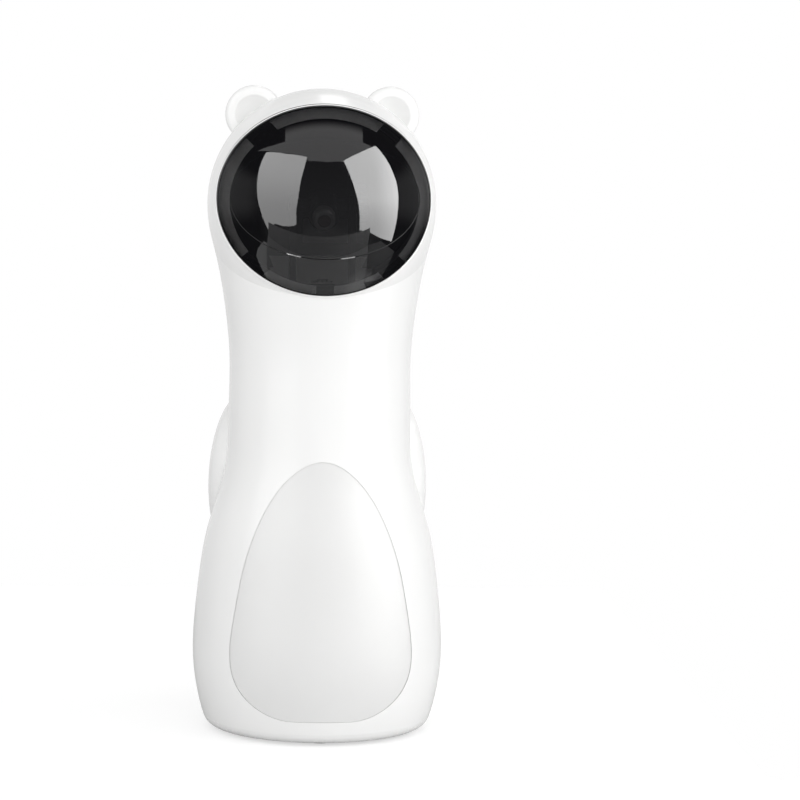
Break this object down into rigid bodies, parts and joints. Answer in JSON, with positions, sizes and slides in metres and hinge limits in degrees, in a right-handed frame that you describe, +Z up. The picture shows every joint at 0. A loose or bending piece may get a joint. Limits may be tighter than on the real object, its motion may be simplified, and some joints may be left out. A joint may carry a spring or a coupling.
{
  "type": "cat laser toy",
  "caption": "Free-standing bear-shaped automatic cat laser toy: white tower shell, smoked face dome over a pan-and-tilt laser, oval belly panel and battery compartment behind.",
  "frame": {"origin": "middle of the footprint, on the surface that the rubber feet stand on", "axes": "+Z up through the head, the face and the laser look along -Y, +X to the right for someone looking along +Y at the face"},
  "size_m": [0.0818, 0.0817, 0.2102],
  "materials": {
    "white_shell": "satin moulded ABS",
    "belly_plastic": "fine matt moulded ABS",
    "smoked_lens": "smoked polished polycarbonate",
    "bezel_black": "semi-gloss moulded ring",
    "inner_black": "black moulded ABS",
    "base_plastic": "fine spark-eroded texture",
    "foot_rubber": "soft matt rubber",
    "screw_steel": "zinc-plated steel",
    "tray_plastic": "moulded ABS",
    "cell_jacket": "printed-free shrink jacket with bare metal ends",
    "contact_metal": "nickel-plated",
    "circuit_board": "green solder mask",
    "component_black": "moulded epoxy",
    "button_grey": "satin moulded ABS",
    "clear_plastic": "clear moulded acrylic",
    "socket_metal": "tinned steel",
    "motor_steel": "drawn steel can",
    "gear_nylon": "natural nylon",
    "pin_steel": "ground steel",
    "laser_brass": "turned brass",
    "laser_glass": "red-tinted collimator"
  },
  "bodies": {
    "root": {"front_shell": "white_shell", "rear_shell": "white_shell", "belly_panel": "belly_plastic", "dome_lens": "smoked_lens", "dome_bezel": "bezel_black", "inner_shroud": "inner_black", "mechanism_frame": "inner_black", "base_plate": "base_plastic", "rubber_feet": "foot_rubber", "base_screws": "screw_steel", "shell_screws": "screw_steel", "board_screws": "screw_steel", "frame_screws": "screw_steel", "motor_screws": "screw_steel", "battery_tray": "tray_plastic", "battery_cell_left": "cell_jacket", "battery_cell_middle": "cell_jacket", "battery_cell_right": "cell_jacket", "battery_contacts": "contact_metal", "battery_springs": "contact_metal", "axle_clip": "contact_metal", "main_board": "circuit_board", "board_parts": "component_black", "tact_switch": "component_black", "status_lamp": "clear_plastic", "light_pipe": "clear_plastic", "charging_socket": "socket_metal", "pan_motor": "motor_steel", "pan_axle": "pin_steel"},
    "pan_yoke": {"pan_yoke": "inner_black", "tilt_motor": "motor_steel"},
    "pan_pinion": {"pan_pinion": "gear_nylon"},
    "laser_cradle": {"laser_cradle": "inner_black", "trunnion_pins": "pin_steel", "tilt_gear": "gear_nylon", "laser_barrel": "laser_brass", "laser_lens": "laser_glass"},
    "tilt_pinion": {"tilt_pinion": "gear_nylon"},
    "power_button": {"power_button": "button_grey"},
    "battery_door": {"battery_door": "white_shell", "battery_door_screw": "screw_steel"}
  },
  "joints": [
    {"name": "laser_pan", "type": "hinge", "parent": "root", "child": "pan_yoke", "pos_m": [0, -0.008, 0.1412], "axis": [0, 0, 1], "range_deg": [-50, 50]},
    {"name": "pan_pinion_turn", "type": "hinge", "parent": "root", "child": "pan_pinion", "pos_m": [0, 0.00892, 0.1412], "axis": [0, 0, 1], "range_deg": [-184, 184]},
    {"name": "laser_tilt", "type": "hinge", "parent": "pan_yoke", "child": "laser_cradle", "pos_m": [0, -0.008, 0.171], "axis": [1, 0, 0], "range_deg": [-18, 22]},
    {"name": "tilt_pinion_turn", "type": "hinge", "parent": "pan_yoke", "child": "tilt_pinion", "pos_m": [0, -0.00028, 0.16328], "axis": [1, 0, 0], "range_deg": [-46, 46]},
    {"name": "power_press", "type": "slide", "parent": "root", "child": "power_button", "axis": [0, -1, 0], "range_m": [0, 0.0008], "stiffness_N_per_m": 600},
    {"name": "battery_door_off", "type": "slide", "parent": "root", "child": "battery_door", "axis": [0, 1, 0], "range_m": [0, 0.03]}
  ],
  "couplings": [
    {"joint": "pan_pinion_turn", "follows": "laser_pan", "ratio": -3.6667},
    {"joint": "tilt_pinion_turn", "follows": "laser_tilt", "ratio": -2}
  ]
}
